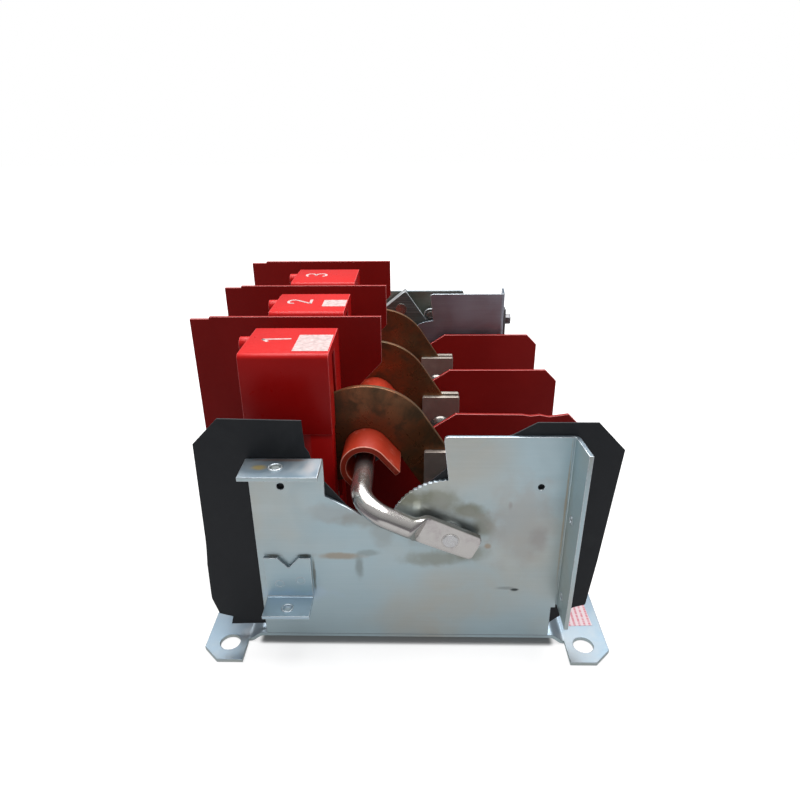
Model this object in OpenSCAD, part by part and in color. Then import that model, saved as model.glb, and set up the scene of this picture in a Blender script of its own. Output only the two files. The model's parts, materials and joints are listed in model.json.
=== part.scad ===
/* [Poles] */
// Distance from one pole to the next
pole_pitch = 112.8; // [96:0.1:136]
// Near side plate's outer face to the first pole's blade
first_pole = 76.5; // [68:0.5:84]
// Last pole's blade to the far side plate's outer face
last_pole = 94.7; // [92:0.5:110]

/* [Side plates] */
// Thickness of the plated sheet
sheet_t = 3; // [2:0.1:3.6]
// Width of a side plate, along X
plate_w = 236.5; // [230:0.5:284]
// Height of a side plate's taller end over the floor
plate_h = 190; // [185:1:226]
// Height of a side plate's lower end over the floor
shelf_h = 172.6; // [166:0.2:184]
// Width of the shelf that is bent out at the lower end
shelf_w = 55; // [46:0.5:56]
// Reach of the shelf in front of the plate
shelf_reach = 26.5; // [20:0.5:32]
// Reach of the upright edge flange in front of the plate
edge_reach = 27; // [20:0.5:30]
// Height over the floor where the edge flange ends
edge_z0 = 38; // [34:0.2:46]
// Radius of the round shoulder about the pivot
shoulder_r = 47; // [40:0.5:50]

/* [Base pan] */
// Height of the pan's raised middle over its flanges
pan_rise = 6; // [4:0.5:9]
// Raised middle past a side plate's right foot
pan_margin = 2.8; // [2:0.1:8]
// Width of the joggle between the raised middle and a flange
joggle_w = 11.4; // [8:0.2:16]
// Width of one flange
flange_w = 33.8; // [28:0.2:36]
// Reach of the ears past the side plates
ear_reach = 22.4; // [18:0.2:27]
// Chamfer on the outer corner of an ear
ear_chamfer = 13; // [8:0.5:16]
// Mounting hole to the flange's outer edge
hole_in = 19.5; // [16:0.5:22]
// Distance from a side plate's outer face to the mounting holes
hole_out = 4.1; // [3:0.1:7]
// Mounting hole diameter
hole_d = 16; // [13:0.5:18]

/* [Crossbar] */
// Pivot to crossbar axis
arm_len = 73.4; // [72:0.1:76]
// Angle of the arm over level, closed
arm_ang = 154.4; // [152:0.1:156]
// Pivot axis, to the right of the middle
pivot_x = 33.4; // [30:0.1:36]
// Pivot axis over the floor
pivot_z = 108.2; // [104:0.1:112]
// Rod diameter
rod_d = 16; // [13.4:0.1:17]
// Radius of the rod's bend, at its middle
bend_r = 22; // [18:0.5:26]
// Rod to the near side plate
rod_gap = 4; // [4:0.1:6]
// Length of the rod's flattened end
flat_l = 42.5; // [38:0.5:48]
// Width of the rod's flattened end
flat_w = 23; // [20:0.5:28]
// Thickness of the rod's flattened end
flat_t = 5; // [4.1:0.1:6.5]
// Pivot pin diameter
pin_d = 11.5; // [9.6:0.1:13.8]
// Outside radius of the channel that covers the crossbar
channel_r = 19.6; // [17:0.1:19.8]
// Wall of the channel
channel_t = 5; // [4:0.1:6]
// Length of the channel's legs past its round back
channel_leg = 21; // [18:0.5:23]
// Lean of the channel's legs under level
channel_dip = 50; // [46:1:58]

/* [Blades and jaws] */
// Thickness of a blade and of a jaw
copper_t = 4.8; // [4:0.1:5.8]
// Outside radius of the blade's hook
hook_r = 57; // [53:0.5:60]
// Length of the blade's straight tip
tip_len = 30; // [26:0.5:36]
// Hinge bolt diameter
bolt_d = 12.7; // [10.6:0.1:14]
// Width of a terminal bar
bar_w = 26; // [22:0.5:31]
// Line bar's reach past the arc chute
line_reach = 47; // [40:0.5:56]
// Load bar's reach past the hinge jaws
load_reach = 79.2; // [70:0.2:90]
// Diameter of a lug hole
lug_d = 13.5; // [11:0.1:16]

/* [Insulation] */
// Thickness of a barrier
barrier_t = 3.2; // [2.6:0.1:3.8]
// Height of a barrier's taller end
barrier_h = 235.6; // [228:0.2:270]
// Height of a barrier's lower end
barrier_low_h = 141; // [140:0.2:152]
// Barrier's reach past the pan's raised middle on the line side
barrier_line = 73.8; // [60:0.2:80]
// Barrier's reach past the pan's raised middle on the load side
barrier_load = 45.3; // [36:0.1:54]
// Last barrier to the far side plate's outer face
barrier_far = 20.2; // [18.6:0.1:24]
// Thickness of the black sheet
black_t = 1.2; // [1:0.1:1.5]
// Size of an arc chute along X, Y and Z
chute_x = 67.6; // [60:0.2:70]
chute_y = 67.2; // [56:0.2:78]
chute_z = 67; // [62:0.5:80]
// Wall of an arc chute
chute_wall = 4; // [3:0.2:4.8]

/* [Mechanism] */
// Thickness of the drive lever
lever_t = 4; // [3:0.1:4.8]
// Depth of the lever's folded edge
lever_fold = 16; // [10:0.5:18]
// Height of the mechanism plate's top
mech_h = 186.5; // [180:0.5:190]

/* [Clearances] */
// Moving pieces to fixed ones
move_gap = 5; // [4.5:0.1:6]
// Blade to jaw, on each side
jaw_gap = 0.4; // [0.3:0.05:0.5]
// Pin in its bore, on the radius
pin_gap = 0.05; // [0.03:0.01:0.1]
// Fixed or clamped round fits, on the radius
fit_gap = 0.2; // [0.1:0.05:0.3]

/* [Hidden] */
$fn = 96;
POLES = 3;
frame_d = first_pole + (POLES - 1) * pole_pitch + last_pole;
near_y = -frame_d / 2;              // outer face of the near side plate
far_y = frame_d / 2;                // outer face of the far side plate
pan_z = pan_rise + sheet_t;         // top of the pan's raised middle
plate_mid = 4.25;                   // the side plates sit a little to the right
plate_x0 = plate_mid - plate_w / 2;
plate_x1 = plate_mid + plate_w / 2;
foot_x1 = plate_x1 - 7.3;           // right end of a plate under its edge flange
pan_mid_w = 2 * (foot_x1 + pan_margin);
pan_w = pan_mid_w + 2 * (joggle_w + flange_w);
hole_dx = pan_w - 2 * hole_in;      // mounting holes, along X
rod_r = rod_d / 2;
rod_out = rod_r + rod_gap;          // rod axis in front of the near side plate
pin_r = pin_d / 2;
bolt_r = bolt_d / 2;

pivot = [pivot_x, pivot_z];
bar = pivot + arm_len * [cos(arm_ang), sin(arm_ang)];  // crossbar axis, in X and Z

hook_in = channel_r + fit_gap;      // the hook wraps the channel
blade_w = hook_r - hook_in;
blade_mid = (hook_r + hook_in) / 2;
strap_len = sqrt(arm_len * arm_len - blade_mid * blade_mid);
lean = arm_ang - 180 + acos(blade_mid / arm_len);      // angle where hook meets strap
hinge_r = blade_w / 2;

jaw_in = copper_t / 2 + jaw_gap;    // middle of a blade to a jaw's inner face
jaw_out = jaw_in + copper_t;
hinge_bar_z = pivot_z - hinge_r - move_gap - copper_t - 0.6;  // underside of the load bar
jaw_half = 18.4;                    // half width of the hinge jaws
jaw_top = pivot_z + 31.7;

chute_x1 = bar[0] - channel_r - move_gap;   // right face of an arc chute
chute_x0 = chute_x1 - chute_x;
chute_top = 234;
chute_z0 = chute_top - chute_z;
chute_off = 4.5;                    // middle of a chute to its blade
slot_w = copper_t + 2 * (move_gap + 0.6);
slot_top = chute_top - 2 * chute_wall;
peg_r = 6.5;
peg_len = 9;

line_bar_z = 84;                    // underside of the line bar
line_x0 = chute_x0 - line_reach;
load_x1 = pivot_x + jaw_half + load_reach;
jaw_tip_top = 130;
pocket_w = 28;                      // room for the line jaws in a contact support

head_t = 1.5;                       // flat rivet heads on the lever
lever_y = far_y + head_t + move_gap; // front face of the drive lever
mech_y = lever_y + lever_fold + move_gap + 0.5;
lug_in = 20;                        // end of a bar to its lug hole

function pole_y(k) = near_y + first_pole + k * pole_pitch;
barrier_shift = 3.1;                // barrier behind the middle of the gap between two arc chutes
function barrier_y(k) = k == POLES - 1 ? far_y - barrier_far
    : pole_y(k) + pole_pitch / 2 + chute_off + barrier_shift;

// An outline in X and Z, made solid from y0 towards +Y
module slab(y0, t) {
    translate([0, y0 + t, 0]) rotate([90, 0, 0]) linear_extrude(t) children();
}

// A round bar along +Y
module rod_y(at, y0, y1, r) {
    translate([at[0], y0, at[1]]) rotate([-90, 0, 0]) cylinder(h = y1 - y0, r = r);
}

// A round bar along +X
module rod_x(x0, x1, y, z, r) {
    translate([x0, y, z]) rotate([0, 90, 0]) cylinder(h = x1 - x0, r = r);
}

module box(lo, hi) {
    translate(lo) cube(hi - lo);
}

// Outline with its two upper corners rounded
module round_top(w, h, r) {
    square([w, h - r]);
    translate([r, 0]) square([w - 2 * r, h]);
    translate([r, h - r]) circle(r);
    translate([w - r, h - r]) circle(r);
}

// ---- Base pan ----

module flange(side) {
    x_out = side * pan_w / 2;
    x_in = side * (pan_w / 2 - flange_w);
    y_end = frame_d / 2 + ear_reach;
    linear_extrude(sheet_t) polygon([
        [x_in, -y_end], [x_out - side * ear_chamfer, -y_end], [x_out, -y_end + ear_chamfer],
        [x_out, y_end - ear_chamfer], [x_out - side * ear_chamfer, y_end], [x_in, y_end]]);
}

// Edge of the bent sheet from the flange at x = f up to the middle at x = m
function joggle(f, m, z0) =
    [for (i = [0 : 8]) [f + (m - f) * i / 8, z0 + pan_rise * (1 - cos(180 * i / 8)) / 2]];
function reversed(v) = [for (i = [len(v) - 1 : -1 : 0]) v[i]];

module base_pan() {
    m = pan_mid_w / 2;
    f = pan_w / 2 - flange_w;
    color("lightsteelblue") difference() {
        union() {
            slab(near_y, frame_d) polygon(concat(
                [[-f, 0]], joggle(-f, -m, sheet_t), reversed(joggle(f, m, sheet_t)),
                [[f, 0]], joggle(f - 1, m - 1, 0), reversed(joggle(-f + 1, -m + 1, 0))));
            flange(-1);
            flange(1);
        }
        for (sx = [-1, 1], sy = [-1, 1])
            translate([sx * hole_dx / 2, sy * (frame_d / 2 + hole_out), -1])
                cylinder(h = sheet_t + 2, d = hole_d);
    }
}

// ---- Side plates ----

// The stop slope passes this far under the crossbar axis
stop_ang = 32;
stop_pt = bar - (rod_r + move_gap) * [sin(stop_ang), cos(stop_ang)];
function slope_z(x) = stop_pt[1] - (x - stop_pt[0]) * tan(stop_ang);

// Nibbled edge of the shoulder
module shoulder() {
    step = 2.5;
    tooth = 0.7;
    translate(pivot) polygon([for (i = [0 : 360 / step - 1])
        (shoulder_r - tooth * (i % 2)) * [cos(i * step), sin(i * step)]]);
}

module side_outline() {
    shelf_x = plate_x0 + shelf_w;
    slope_end = pivot_x - shoulder_r + 2;
    top_r = 3;
    top_x = pivot_x - 5.6;
    polygon([[plate_x0, pan_z], [plate_x0, shelf_h], [shelf_x, shelf_h], [shelf_x, slope_z(shelf_x)],
        [slope_end, slope_z(slope_end)], [pivot_x - 2, pivot_z], [pivot_x - 2, pivot_z + shoulder_r],
        [top_x, plate_h - top_r], [top_x + 0.8, plate_h - 0.8], [top_x + top_r, plate_h],
        [plate_x1, plate_h], [plate_x1, edge_z0], [foot_x1, edge_z0], [foot_x1, pan_z]]);
    shoulder();
}

// The near plate, with its outer face at y = near_y
module side_plate() {
    difference() {
        slab(near_y, sheet_t) side_outline();
        rod_y(pivot, near_y - 1, near_y + sheet_t + 1, pin_r + pin_gap);
    }
}

// What is bent from the near plate: its shelf and edge flange towards -Y, its foot towards +Y
module side_flanges() {
    foot_d = 14;
    difference() {
        union() {
            box([plate_x0, near_y - shelf_reach, shelf_h - sheet_t], [plate_x0 + shelf_w, near_y, shelf_h]);
            box([plate_x1 - sheet_t, near_y - edge_reach, edge_z0], [plate_x1, near_y, plate_h]);
            box([plate_x0 + foot_d, near_y + sheet_t, pan_z],
                [foot_x1 - foot_d, near_y + foot_d, pan_z + sheet_t]);
        }
        translate([plate_x0 + 24, near_y - 12.5, shelf_h - sheet_t - 1]) cylinder(h = sheet_t + 2, r = 3.6);
        for (z = [58, 128]) rod_x(plate_x1 - sheet_t - 1, plate_x1 + 1, near_y - 10, z, 2.4);
    }
}

module near_side_plate() {
    color("lightsteelblue") difference() {
        side_plate();
        rod_y([plate_x0 + 23, 149.4], near_y - 1, near_y + sheet_t + 1, 2.8);
        rod_y([plate_x1 - 23.9, 149.5], near_y - 1, near_y + sheet_t + 1, 2.4);
    }
}

module far_side_plate() {
    color("lightsteelblue") mirror([0, 1, 0]) side_plate();
}

module near_flanges() {
    color("lightsteelblue") side_flanges();
}

module far_flanges() {
    color("lightsteelblue") mirror([0, 1, 0]) side_flanges();
}

// ---- Notched bracket on the near plate ----

module notch_bracket() {
    x0 = plate_x0 + 4.9;
    x1 = plate_x0 + 41.3;
    z_bend = 49.5;
    z_top = 86.8;
    notch = (x0 + x1) / 2 + 0.6;
    reach = 24.5;
    color("lightsteelblue") difference() {
        union() {
            slab(near_y - sheet_t, sheet_t) polygon([
                [x0, z_bend - sheet_t], [x0, z_top], [notch - 8, z_top], [notch, z_top - 9.2],
                [notch + 8, z_top], [x1, z_top], [x1, z_bend - sheet_t]]);
            box([x0, near_y - reach, z_bend - sheet_t], [x1, near_y, z_bend]);
        }
        translate([(x0 + x1) / 2, near_y - 15.5, z_bend - sheet_t - 1]) cylinder(h = sheet_t + 2, r = 3.2);
    }
}

// ---- Black sheet behind the near plate ----

module black_sheet() {
    left = plate_x0 - 39;
    right = plate_x1 + 33.1;
    top = 201.5;
    gap_x = pivot_x - shoulder_r + 2;
    color("dimgray") slab(near_y + sheet_t, black_t) difference() {
        polygon([[left - 1, 77], [left + 1.3, 182.4], [left + 21, top + 1], [plate_x0 + 41.5, top - 0.4],
            [plate_x0 + 42.5, 180], [plate_x0 + 45.3, 175.4], [plate_x0 + 46.5, 170],
            [plate_x0 + 50, 158], [stop_pt[0] - 1.5, slope_z(stop_pt[0]) - 1],
            [gap_x, slope_z(gap_x) - 1], [pivot_x - shoulder_r + 4, 127], [pivot_x - 4, 162],
            [pivot_x + 2, 182], [pivot_x + 36, 187], [right - 78.5, 190.8], [right - 63, 199.8],
            [right - 20.4, 199.8], [right, 178.4], [right - 8, 82], [right - 12.6, 38.6],
            [right - 22, 35.5], [foot_x1 - 6, pan_z + 5], [plate_x0 + 16, pan_z + 5],
            [plate_x0 - 2, 18], [left + 6, 27], [left + 1, 43]]);
        translate(pivot) circle(pin_r + 3);
    }
}

// ---- Barriers between the poles ----

module barrier(k) {
    left = -pan_mid_w / 2 - barrier_line;
    right = pan_mid_w / 2 + barrier_load;
    neck_r = arm_len + channel_r + move_gap;   // the channel swings inside this radius
    top_x = bar[0] + 10.2;
    chip = k == 0 ? 1 : 0;
    color("firebrick") slab(barrier_y(k), barrier_t) polygon([
        [left, 70], [left, barrier_h - 2], [left + 17, barrier_h - 2],
        [left + 17.5, barrier_h], [top_x, barrier_h], [top_x, 193],
        pivot + neck_r * [cos(140), sin(140)] - [1, 0], pivot + neck_r * [cos(151), sin(151)] - [1, 0],
        pivot + neck_r * [cos(163), sin(163)] - [1, 0], [bar[0] - channel_r - move_gap, 104],
        [bar[0] - 15, 98], [bar[0] + 24, 98], [pivot_x - 9, 126.7], [pivot_x + 12.5, barrier_low_h],
        [pivot_x + 74, barrier_low_h - 0.6 * chip], [pivot_x + 82, barrier_low_h - 1.9 * chip],
        [pivot_x + 91, barrier_low_h - 0.8 * chip], [pivot_x + 99, barrier_low_h - 2.6 * chip],
        [pivot_x + 110, barrier_low_h - 1.2 * chip], [right - 12.5, barrier_low_h],
        [right, barrier_low_h - 12.8], [right, 60], [pan_mid_w / 2, pan_z], [-pan_mid_w / 2, pan_z]]);
}

// ---- Arc chutes and their supports ----

module arc_chute(k) {
    y = pole_y(k) + chute_off;
    w = chute_wall;
    color("red") difference() {
        union() {
            translate([chute_x0, y - chute_y / 2, chute_z0]) rotate([90, 0, 90])
                linear_extrude(chute_x) round_top(chute_y, chute_z, 4);
            rod_x(chute_x0 - peg_len, chute_x0 + 1, y, chute_top - peg_r, peg_r);
        }
        box([chute_x0 + w, y - chute_y / 2 + w, chute_z0 - 1],
            [chute_x1 - w, y + chute_y / 2 - w, chute_top - w]);
        box([chute_x1 - w - 1, pole_y(k) - slot_w / 2, chute_z0 - 1],
            [chute_x1 + 1, pole_y(k) + slot_w / 2, slot_top]);
    }
}

module contact_support(k) {
    y = pole_y(k) + chute_off;
    h = chute_y / 2 - 0.6;
    x1 = chute_x1;
    color("firebrick") difference() {
        translate([0, 0, pan_z]) linear_extrude(chute_z0 - pan_z) polygon([
            [x1, y - h], [x1, y + h], [x1 - 17.5, y + h], [x1 - 40, y + h - 14], [x1 - 56, y + h - 14],
            [x1 - 56, y - h + 14], [x1 - 40, y - h + 14], [x1 - 17.5, y - h]]);
        box([x1 - 38, pole_y(k) - pocket_w / 2, line_bar_z],
            [x1 + 1, pole_y(k) + pocket_w / 2, chute_z0 + 1]);
        box([x1 - 57, pole_y(k) - bar_w / 2 - fit_gap, line_bar_z],
            [x1 - 37, pole_y(k) + bar_w / 2 + fit_gap, line_bar_z + copper_t + fit_gap]);
    }
}

// A terminal bar from x0 to x1 with a lug hole lug_in from the end at lug_end
module terminal_bar(k, x0, x1, z, lug_x) {
    difference() {
        box([x0, pole_y(k) - bar_w / 2, z], [x1, pole_y(k) + bar_w / 2, z + copper_t]);
        translate([lug_x, pole_y(k), z - 1]) cylinder(h = copper_t + 2, d = lug_d);
    }
}

module line_contact(k) {
    x1 = chute_x1 - 3;
    color("tan") {
        terminal_bar(k, line_x0, x1, line_bar_z, line_x0 + lug_in);
        for (s = [-1, 1])
            slab(pole_y(k) + (s > 0 ? jaw_in : -jaw_out), copper_t) polygon([
                [x1 - 31, line_bar_z + copper_t], [x1 - 31, jaw_tip_top - 6], [x1 - 25, jaw_tip_top],
                [x1, jaw_tip_top], [x1, line_bar_z + copper_t]]);
    }
}

// ---- Hinge end ----

module hinge_support(k) {
    x0 = pivot_x - jaw_half - 11;
    color("firebrick") translate([x0, pole_y(k), pan_z]) linear_extrude(hinge_bar_z - pan_z) polygon([
        [0, -24], [6, -30], [68, -30], [74, -24], [74, 24], [68, 30], [6, 30], [0, 24]]);
}

module load_terminal(k) {
    x0 = pivot_x - jaw_half;
    x1 = load_x1;
    foot_z = hinge_bar_z + copper_t;
    color("tan") difference() {
        union() {
            terminal_bar(k, x0, x1, hinge_bar_z, x1 - lug_in);
            for (s = [-1, 1])
                slab(pole_y(k) + (s > 0 ? jaw_in : -jaw_out), copper_t) polygon([
                    [x0, foot_z], [x0, jaw_top - 1], [x0 + 1, jaw_top],
                    [x0 + 2 * jaw_half - 1, jaw_top], [x0 + 2 * jaw_half, jaw_top - 1],
                    [x0 + 2 * jaw_half, foot_z]]);
        }
        rod_y(pivot, pole_y(k) - jaw_out - 1, pole_y(k) + jaw_out + 1, bolt_r + fit_gap);
    }
}

module hinge_bolt(k) {
    head_r = 11.5;
    head_h = 6.5;
    ball_r = (head_r * head_r + head_h * head_h) / (2 * head_h);
    y = pole_y(k);
    color("silver") {
        rod_y(pivot, y - jaw_out - 1, y + jaw_out + 12, bolt_r);
        intersection() {
            translate([pivot_x, y - jaw_out - head_h + ball_r, pivot_z]) sphere(ball_r);
            rod_y(pivot, y - jaw_out - head_h - 1, y - jaw_out, head_r);
        }
        rod_y(pivot, y + jaw_out, y + jaw_out + 2, 13);
        translate([pivot_x, y + jaw_out + 2, pivot_z]) rotate([-90, 0, 0]) cylinder(h = 8, r = 11, $fn = 6);
    }
}

// ---- Pivots of the bail ----

collar_r = 10.5;

module near_pivot_pin() {
    back = near_y - rod_gap;      // rear face of the flattened end
    color("silver") {
        rod_y(pivot, back - flat_t - 0.4, near_y + sheet_t + black_t + 2, pin_r);
        rod_y(pivot, back + 0.3, near_y, collar_r);
    }
}

module far_pivot_pin() {
    color("silver") {
        rod_y(pivot, far_y - sheet_t - 3, mech_y + sheet_t + 2, pin_r);
        rod_y(pivot, far_y, lever_y - 0.3, collar_r);
        rod_y(pivot, lever_y + lever_t + 0.3, mech_y, collar_r);
    }
}

// ---- Mechanism plate behind the far side plate ----

spacer_at = [[-74, 150], [-74, 52], [66, 52]];
spacer_r = 6;

module mechanism_plate() {
    x0 = -84;
    x1 = 73.4;
    color("lightsteelblue") difference() {
        slab(mech_y, sheet_t) polygon([[x0, 40], [x0, mech_h - 8], [x0 + 8, mech_h],
            [x1 - 3, mech_h], [x1, mech_h - 5], [x1, 40]]);
        rod_y(pivot, mech_y - 1, mech_y + sheet_t + 1, pin_r + pin_gap);
        for (p = spacer_at) rod_y(p, mech_y - 1, mech_y + sheet_t + 1, 3.2);
    }
}

module mechanism_spacers() {
    color("silver") for (p = spacer_at) {
        rod_y(p, far_y, mech_y, spacer_r);
        rod_y(p, mech_y - 1, mech_y + sheet_t + 4, 3);
    }
}

module corner_strap() {
    color("gray") difference() {
        box([plate_x1, far_y + 2, 58], [plate_x1 + sheet_t, far_y + 20, 168]);
        for (z = [72, 153]) rod_x(plate_x1 - 1, plate_x1 + sheet_t + 1, far_y + 11, z, 3.3);
    }
}

module corner_bolts() {
    color("gray") for (z = [72, 153]) {
        translate([plate_x1 + sheet_t, far_y + 11, z]) rotate([0, 90, 0]) cylinder(h = 7, r = 7, $fn = 6);
        rod_x(plate_x1, plate_x1 + sheet_t + 1, far_y + 11, z, 3);
    }
}

// ---- Moving pieces ----

module bail_rod() {
    y = near_y - rod_out;
    color("gainsboro") difference() {
        union() {
            translate([pivot_x, y, pivot_z]) rotate([0, -arm_ang, 0]) {
                neck = flat_l / 2 + 2;
                neck_end = neck + 12;
                tip = -flat_l / 2;
                translate([0, rod_r, 0]) rotate([90, 0, 0]) linear_extrude(flat_t) polygon([
                    [neck + 0.5, -flat_w / 2], [tip + 1.5, -flat_w / 2], [tip, -flat_w / 2 + 5],
                    [tip, flat_w / 2 - 3.8], [tip + 1, flat_w / 2 - 2.8], [neck + 0.5, flat_w / 2]]);
                hull() {
                    translate([neck, rod_r - flat_t, -flat_w / 2 + 0.5]) cube([0.5, flat_t, flat_w - 1]);
                    translate([neck_end, 0, 0]) rotate([0, 90, 0])
                        cylinder(h = 0.2, r = rod_r - 0.1, $fn = 32);
                }
                translate([neck_end, 0, 0]) rotate([0, 90, 0])
                    cylinder(h = arm_len - bend_r - neck_end, r = rod_r);
                translate([arm_len - bend_r, bend_r, 0]) rotate([0, 0, -90])
                    rotate_extrude(angle = 90) translate([bend_r, 0]) circle(rod_r);
            }
            rod_y(bar, y + bend_r, lever_y + lever_t, rod_r);
        }
        rod_y(pivot, y - rod_r, y + rod_r, pin_r + pin_gap);
    }
}

channel_y0 = near_y + 42;
channel_y1 = far_y - sheet_t - 8;

// Outline of the channel about the crossbar axis, larger by g
module channel_shape(g) {
    rotate(-channel_dip) {
        circle(channel_r + g);
        translate([0, -channel_r - g]) square([channel_leg + g, 2 * (channel_r + g)]);
    }
}

module crossbar_channel() {
    inside = channel_r - channel_t;
    color("tomato") slab(channel_y0, channel_y1 - channel_y0) translate(bar) difference() {
        channel_shape(0);
        rotate(-channel_dip) {
            circle(inside);
            translate([0, -inside]) square([channel_leg + 1, 2 * inside]);
        }
    }
}

module crossbar_spacers() {
    n = 4;
    inset = 40;
    color("gray") for (k = [0 : n - 1]) {
        y = channel_y0 + inset + k * (channel_y1 - channel_y0 - 2 * inset) / (n - 1);
        difference() {
            rod_y(bar, y - 6, y + 6, channel_r - channel_t - fit_gap);
            rod_y(bar, y - 7, y + 7, rod_r + fit_gap);
        }
    }
}

// Points on an arc about c, from angle a0 to a1 in n steps
function arc(c, r, a0, a1, n) =
    [for (i = [0 : n]) c + r * [cos(a0 + (a1 - a0) * i / n), sin(a0 + (a1 - a0) * i / n)]];

module blade(k) {
    tip_z = bar[1] - tip_len;
    color("sienna") slab(pole_y(k) - copper_t / 2, copper_t) difference() {
        polygon(concat(
            arc(bar, hook_r, lean, 180, 60),
            [[bar[0] - hook_r, tip_z + 3], [bar[0] - hook_r + 3, tip_z],
                [bar[0] - hook_in - 3, tip_z], [bar[0] - hook_in, tip_z + 3]],
            arc(bar, hook_in, 180, lean, 40),
            arc(pivot, hinge_r, lean + 180, lean + 360, 40)));
        translate(bar) channel_shape(fit_gap);
        translate(pivot) circle(bolt_r + pin_gap);
    }
}

// Corner of the lever at radius r from the pivot and angle a
function about(r, a) = pivot + r * [cos(a), sin(a)];

fold_low = about(89.3, 135.6);
fold_top = about(91.7, 114.6);
drive_at = about(52.3, 96);
boss_at = about(74, 126);

module drive_lever() {
    boss_r = 18;
    fold_t = 3;
    dir = (fold_top - fold_low) / norm(fold_top - fold_low);
    inward = [dir[1], -dir[0]];
    color("lightsteelblue") difference() {
        union() {
            slab(lever_y, lever_t) {
                polygon([fold_low, fold_top, fold_top + [2.4, -2.4], about(47.6, 104), about(40, 60),
                    about(boss_r, 20), about(boss_r, 200), bar - [rod_r + 8, 8], bar + [-rod_r - 8, 8]]);
                translate(pivot) circle(boss_r);
                translate(bar) circle(rod_r + 10);
                translate(drive_at) circle(8);
            }
            slab(lever_y, lever_fold)
                polygon([fold_low, fold_top, fold_top + fold_t * inward, fold_low + fold_t * inward]);
        }
        rod_y(pivot, lever_y - 1, lever_y + lever_t + 1, pin_r + pin_gap);
        rod_y(bar, lever_y - 1, lever_y + lever_t + 1, rod_r + pin_gap);
        rod_y(drive_at, lever_y - 1, lever_y + lever_t + 1, 4.5);
        rod_y(boss_at, lever_y - 1, lever_y + lever_t + 1, 5);
    }
}

module drive_pin() {
    color("silver") {
        rod_y(drive_at, lever_y - head_t, lever_y + lever_t + 9, 4.45);
        rod_y(drive_at, lever_y + lever_t, lever_y + lever_t + 3, 6.5);
        rod_y(boss_at, lever_y - head_t, lever_y + lever_t + 2, 4.95);
        rod_y(boss_at, lever_y - head_t, lever_y, 7.4);
    }
}

base_pan();
near_side_plate();
far_side_plate();
near_flanges();
far_flanges();
notch_bracket();
black_sheet();
barrier(0);  // barrier_1
barrier(1);  // barrier_2
barrier(2);  // barrier_3
arc_chute(0);  // arc_chute_1
arc_chute(1);  // arc_chute_2
arc_chute(2);  // arc_chute_3
contact_support(0);  // contact_support_1
contact_support(1);  // contact_support_2
contact_support(2);  // contact_support_3
line_contact(0);  // line_contact_1
line_contact(1);  // line_contact_2
line_contact(2);  // line_contact_3
hinge_support(0);  // hinge_support_1
hinge_support(1);  // hinge_support_2
hinge_support(2);  // hinge_support_3
load_terminal(0);  // load_terminal_1
load_terminal(1);  // load_terminal_2
load_terminal(2);  // load_terminal_3
hinge_bolt(0);  // hinge_bolt_1
hinge_bolt(1);  // hinge_bolt_2
hinge_bolt(2);  // hinge_bolt_3
near_pivot_pin();
far_pivot_pin();
mechanism_plate();
mechanism_spacers();
corner_strap();
corner_bolts();
bail_rod();
crossbar_channel();
crossbar_spacers();
blade(0);  // blade_1
blade(1);  // blade_2
blade(2);  // blade_3
drive_lever();
drive_pin();
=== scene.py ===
"""Looks of an open three-pole knife-blade disconnect switch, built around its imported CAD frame.

Row frame in metres: +X to the load side, +Y from the bail side to the mechanism side, +Z up.
"""

import json
import math

import bmesh
import bpy
from mathutils import Matrix, Vector


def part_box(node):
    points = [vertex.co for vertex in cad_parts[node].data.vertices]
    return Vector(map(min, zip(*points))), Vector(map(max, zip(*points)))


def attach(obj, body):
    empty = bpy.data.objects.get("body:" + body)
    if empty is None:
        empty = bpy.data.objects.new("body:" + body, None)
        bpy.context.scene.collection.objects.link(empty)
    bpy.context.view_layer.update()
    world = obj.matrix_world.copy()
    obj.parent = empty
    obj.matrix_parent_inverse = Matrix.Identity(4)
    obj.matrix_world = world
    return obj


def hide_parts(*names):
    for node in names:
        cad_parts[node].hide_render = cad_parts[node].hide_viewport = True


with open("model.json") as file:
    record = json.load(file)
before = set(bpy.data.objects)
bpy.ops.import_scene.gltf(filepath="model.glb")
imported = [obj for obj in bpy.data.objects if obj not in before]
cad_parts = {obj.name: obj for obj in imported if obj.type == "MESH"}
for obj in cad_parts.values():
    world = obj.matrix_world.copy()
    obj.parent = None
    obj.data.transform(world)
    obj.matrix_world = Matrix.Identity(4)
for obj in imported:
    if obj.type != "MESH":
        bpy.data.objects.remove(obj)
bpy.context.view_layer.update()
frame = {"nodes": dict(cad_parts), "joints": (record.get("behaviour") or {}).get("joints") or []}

MM = 0.001
POLES = (1, 2, 3)
X_AXIS, Y_AXIS, Z_AXIS = (Vector(axis) for axis in ((1, 0, 0), (0, 1, 0), (0, 0, 1)))
FLAT = math.radians(0.4)      # faces that differ by less than this are one flat face
SHARP = math.radians(28)      # edges over this angle get a small bevel
FLAT_AREA = 25e-6             # faces of five sides or more and over this area are flat shaded
TOUCH = 0.1 * MM              # places closer than this are one place


# ---- Places, read from the frame ----

def centre(node):
    low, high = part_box(node)
    return (low + high) / 2


PIVOT = Vector(frame["joints"][0]["pos_m"])
BAR = centre("crossbar_spacers")          # on the crossbar's axis
ARM = Vector((BAR.x - PIVOT.x, 0, BAR.z - PIVOT.z))
PLATE_LOW, PLATE_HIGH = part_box("near_side_plate")
NEAR_Y = PLATE_LOW.y                      # the near plate's outer face
SHEET = PLATE_HIGH.y - PLATE_LOW.y        # thickness of the bent sheet


# ---- Materials ----

def tone(colour, by=1.0, lift=0.0):
    """The RGBA of an RGB colour, made lighter or darker."""
    return (*[min(1.0, c * by + lift) for c in colour], 1.0)


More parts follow.
